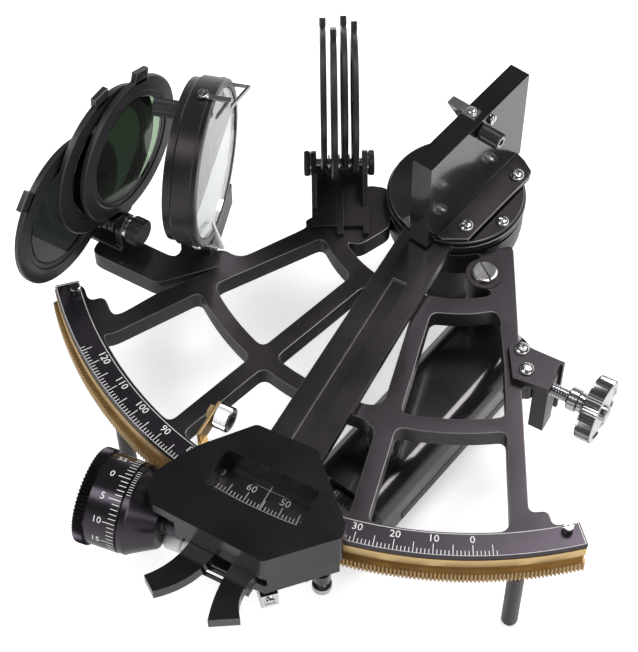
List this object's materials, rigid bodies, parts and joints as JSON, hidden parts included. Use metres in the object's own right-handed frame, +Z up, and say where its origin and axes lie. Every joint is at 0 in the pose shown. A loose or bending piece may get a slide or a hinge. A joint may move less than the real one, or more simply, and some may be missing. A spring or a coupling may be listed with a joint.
{
  "type": "marine sextant",
  "caption": "Handheld navigation sextant lying on its legs: lattice frame with toothed arc, index arm with worm and micrometer drum, index and horizon mirrors, folding shades and lit handle",
  "frame": {"origin": "Centre of the pivot leg's foot on the table, on the axis of the index arm", "axes": "+Z up out of the arc's face, the arc lies toward -Y, +X to the right with the thumb screw"},
  "size_m": [0.2321, 0.2344, 0.127],
  "materials": {
    "frame_enamel": "satin",
    "rack_brass": "machined",
    "arc_black": "satin",
    "bearing_bronze": "machined",
    "grip_plastic": "gloss",
    "screw_steel": "polished",
    "knob_chrome": "polished",
    "cell_wrap": "satin",
    "button_red": "gloss",
    "clear_glass": "polished",
    "filter_glass": "polished",
    "silver_mirror": "polished",
    "anodised_black": "satin",
    "lamp_frosted": "frosted",
    "worm_steel": "machined"
  },
  "bodies": {
    "frame": {"frame_casting": "frame_enamel", "arc_rack": "rack_brass", "limb_scale": "arc_black", "legs": "anodised_black", "pivot_foot": "anodised_black", "index_bearing": "bearing_bronze", "handle_front": "grip_plastic", "handle_back": "grip_plastic", "handle_posts": "frame_enamel", "frame_screws": "screw_steel", "batteries": "cell_wrap", "telescope_bracket": "frame_enamel", "horizon_bracket": "frame_enamel", "horizon_ring": "anodised_black", "horizon_glass": "silver_mirror", "horizon_clips": "screw_steel", "horizon_shade_bracket": "frame_enamel", "horizon_shade_pin": "anodised_black", "index_shade_bracket": "frame_enamel", "index_shade_pin": "anodised_black"},
    "arm": {"index_arm": "frame_enamel", "index_shaft": "worm_steel", "index_table": "frame_enamel", "mirror_foot": "frame_enamel", "mirror_frame": "anodised_black", "mirror_glass": "silver_mirror", "mirror_clips": "screw_steel", "housing_cover": "frame_enamel", "housing_base": "frame_enamel", "scale_window": "clear_glass", "thumb_rest": "grip_plastic", "carrier_pin": "anodised_black", "carrier_spring": "screw_steel", "lamp_holder": "rack_brass"},
    "carrier": {"worm_carrier": "grip_plastic", "vernier_sleeve": "anodised_black", "drum_lamp": "lamp_frosted"},
    "micrometer": {"worm_shaft": "worm_steel", "drum": "anodised_black"},
    "lamp_cap_body": {"lamp_cap": "knob_chrome"},
    "mirror_adjuster_body": {"mirror_adjuster": "anodised_black"},
    "battery_cap_body": {"battery_cap": "grip_plastic"},
    "button_body": {"light_button": "button_red"},
    "clamp_body": {"clamp_screw": "knob_chrome"},
    "top_adjuster_body": {"horizon_adjuster_top": "anodised_black"},
    "side_adjuster_body": {"horizon_adjuster_side": "anodised_black"},
    "horizon_shade_body_1": {"horizon_shade_1": "anodised_black", "horizon_filter_1": "filter_glass"},
    "horizon_shade_body_2": {"horizon_shade_2": "anodised_black", "horizon_filter_2": "filter_glass"},
    "horizon_shade_body_3": {"horizon_shade_3": "anodised_black", "horizon_filter_3": "filter_glass"},
    "index_shade_body_1": {"index_shade_1": "anodised_black", "index_filter_1": "filter_glass"},
    "index_shade_body_2": {"index_shade_2": "anodised_black", "index_filter_2": "filter_glass"},
    "index_shade_body_3": {"index_shade_3": "anodised_black", "index_filter_3": "filter_glass"},
    "index_shade_body_4": {"index_shade_4": "anodised_black", "index_filter_4": "filter_glass"}
  },
  "joints": [
    {"name": "drum_spin", "type": "hinge", "parent": "carrier", "child": "micrometer", "pos_m": [0.0276, -0.16491, 0.042], "axis": [0.9863, 0.165, 0], "range_deg": [-23400, 19800]},
    {"name": "arm_swing", "type": "hinge", "parent": "frame", "child": "arm", "pos_m": [0, 0, 0.054], "axis": [0, 0, 1], "range_deg": [-32.55, 27.55]},
    {"name": "release_swing", "type": "hinge", "parent": "arm", "child": "carrier", "pos_m": [0.03384, -0.16285, 0.042], "axis": [0, 0, 1], "range_deg": [0, 6], "stiffness_Nm_per_rad": 0.8, "springref_deg": -6.88},
    {"name": "lamp_cap_turn", "type": "hinge", "parent": "arm", "child": "lamp_cap_body", "pos_m": [-0.0191, -0.13576, 0.0592], "axis": [0.999, 0.0436, 0], "continuous": true},
    {"name": "mirror_adjuster_turn", "type": "hinge", "parent": "arm", "child": "mirror_adjuster_body", "pos_m": [0.0085, -0.00129, 0.0995], "axis": [0.9888, -0.1495, 0], "continuous": true},
    {"name": "battery_cap_turn", "type": "hinge", "parent": "frame", "child": "battery_cap_body", "pos_m": [0.02199, -0.12498, 0.0175], "axis": [0.1461, 0.9893, 0], "range_deg": [0, 90]},
    {"name": "button_press", "type": "slide", "parent": "frame", "child": "button_body", "axis": [-0.9893, 0.1461, 0], "range_m": [0, 0.0015], "stiffness_N_per_m": 350, "springref_m": -0.001},
    {"name": "clamp_turn", "type": "hinge", "parent": "frame", "child": "clamp_body", "pos_m": [0.08, -0.06, 0.05], "axis": [1, 0, 0], "continuous": true},
    {"name": "top_adjuster_turn", "type": "hinge", "parent": "frame", "child": "top_adjuster_body", "pos_m": [-0.08536, -0.06102, 0.116], "axis": [0.9511, 0.309, 0], "continuous": true},
    {"name": "side_adjuster_turn", "type": "hinge", "parent": "frame", "child": "side_adjuster_body", "pos_m": [-0.09216, -0.04009, 0.0897], "axis": [0.9511, 0.309, 0], "continuous": true},
    {"name": "horizon_shade_1_fold", "type": "hinge", "parent": "frame", "child": "horizon_shade_body_1", "pos_m": [-0.1055, -0.081, 0.061], "axis": [1, 0, 0], "range_deg": [-21, 55]},
    {"name": "horizon_shade_2_fold", "type": "hinge", "parent": "frame", "child": "horizon_shade_body_2", "pos_m": [-0.1087, -0.081, 0.061], "axis": [1, 0, 0], "range_deg": [-40, 42]},
    {"name": "horizon_shade_3_fold", "type": "hinge", "parent": "frame", "child": "horizon_shade_body_3", "pos_m": [-0.1119, -0.081, 0.061], "axis": [1, 0, 0], "range_deg": [-82, 1]},
    {"name": "index_shade_1_fold", "type": "hinge", "parent": "frame", "child": "index_shade_body_1", "pos_m": [-0.05164, -0.01459, 0.06], "axis": [0.8572, 0.515, 0], "range_deg": [-55, 35]},
    {"name": "index_shade_2_fold", "type": "hinge", "parent": "frame", "child": "index_shade_body_2", "pos_m": [-0.04821, -0.01253, 0.06], "axis": [0.8572, 0.515, 0], "range_deg": [-55, 35]},
    {"name": "index_shade_3_fold", "type": "hinge", "parent": "frame", "child": "index_shade_body_3", "pos_m": [-0.04479, -0.01047, 0.06], "axis": [0.8572, 0.515, 0], "range_deg": [-55, 35]},
    {"name": "index_shade_4_fold", "type": "hinge", "parent": "frame", "child": "index_shade_body_4", "pos_m": [-0.04136, -0.00841, 0.06], "axis": [0.8572, 0.515, 0], "range_deg": [-55, 35]}
  ],
  "couplings": [
    {"joint": "arm_swing", "follows": "drum_spin", "ratio": 0.0013889}
  ]
}
